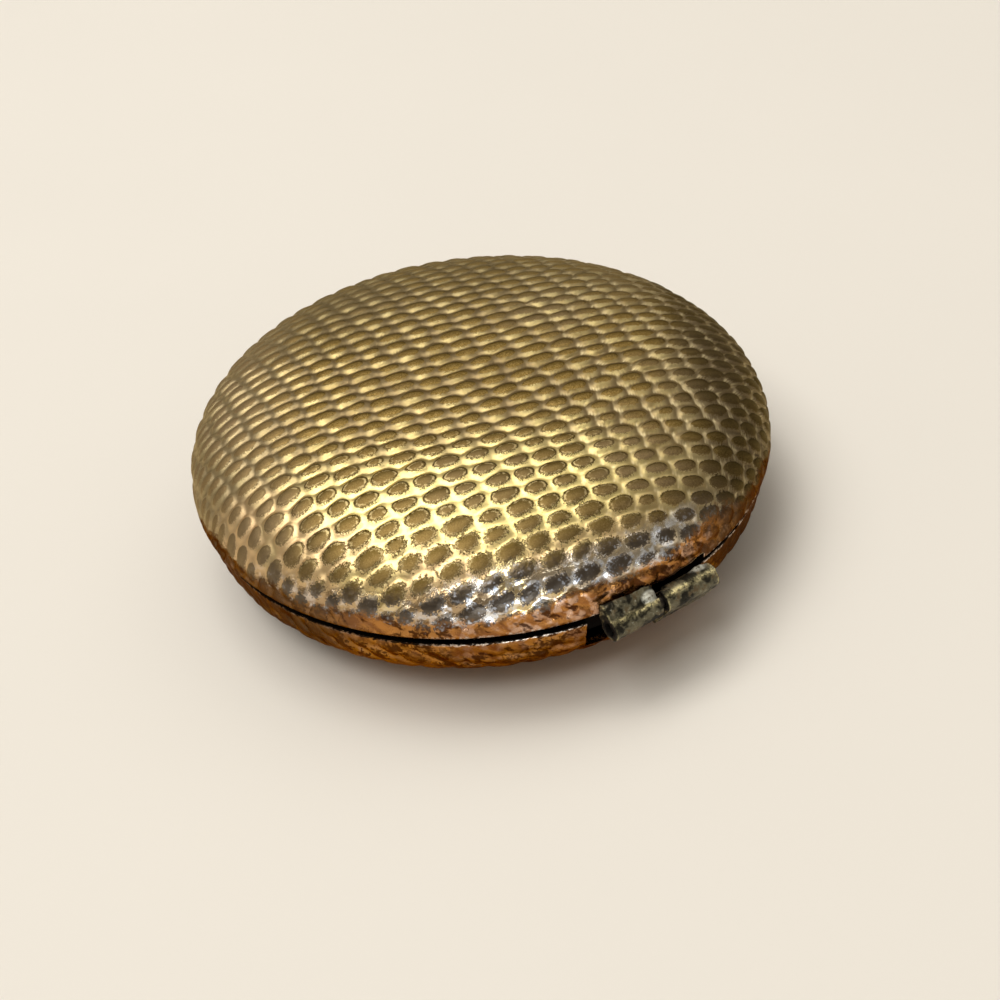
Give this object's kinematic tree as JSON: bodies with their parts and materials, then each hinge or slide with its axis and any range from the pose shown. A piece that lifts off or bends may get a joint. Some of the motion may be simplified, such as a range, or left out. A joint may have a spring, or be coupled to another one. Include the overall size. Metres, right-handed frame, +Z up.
{
  "type": "compact mirror",
  "caption": "Round pebble-shaped hinged mirror case in embossed gilt sheet metal, with a plain mirror in the lid, a magnifying mirror in the base and a sprung thumb catch.",
  "frame": {"origin": "centre of the flat foot that the closed case stands on", "axes": "+Z up from the foot to the lid, +Y towards the hinge, -Y towards the thumb catch"},
  "size_m": [0.064, 0.0661, 0.0205],
  "materials": {
    "gilt_shell": "worn gilding over copper-toned metal, embossed as lizard skin, scale tops rubbed to dull grey-brown",
    "gilt_frame": "satin gilding",
    "gilt_bezel": "polished gilding",
    "gilt_catch": "rubbed gilding",
    "tarnished_hinge": "dull tarnish with traces of gilding and solder",
    "mirror_glass": "silvered glass",
    "backing_card": "plain grey-brown card",
    "pin_steel": "drawn wire",
    "spring_steel": "tempered strip"
  },
  "bodies": {
    "base": {"base_shell": "gilt_shell", "base_frame": "gilt_frame", "base_mirror": "mirror_glass", "base_mirror_card": "backing_card", "base_mirror_ring": "gilt_bezel", "hinge_base_leaf": "tarnished_hinge", "hinge_pin": "pin_steel", "catch_bracket": "gilt_frame", "catch_spring": "spring_steel", "catch_rivets": "pin_steel"},
    "lid": {"lid_shell": "gilt_shell", "lid_frame": "gilt_frame", "lid_mirror": "mirror_glass", "lid_mirror_card": "backing_card", "lid_mirror_ring": "gilt_bezel", "hinge_lid_leaf": "tarnished_hinge", "catch_keeper": "gilt_frame"},
    "catch": {"thumb_piece": "gilt_catch"}
  },
  "joints": [
    {"name": "lid_hinge", "type": "hinge", "parent": "base", "child": "lid", "pos_m": [0, 0.03285, 0.009], "axis": [-1, 0, 0], "range_deg": [0, 120]},
    {"name": "catch_slide", "type": "slide", "parent": "base", "child": "catch", "axis": [0, 1, 0], "range_m": [0, 0.0008], "stiffness_N_per_m": 600, "deforming": ["catch_spring"]}
  ]
}
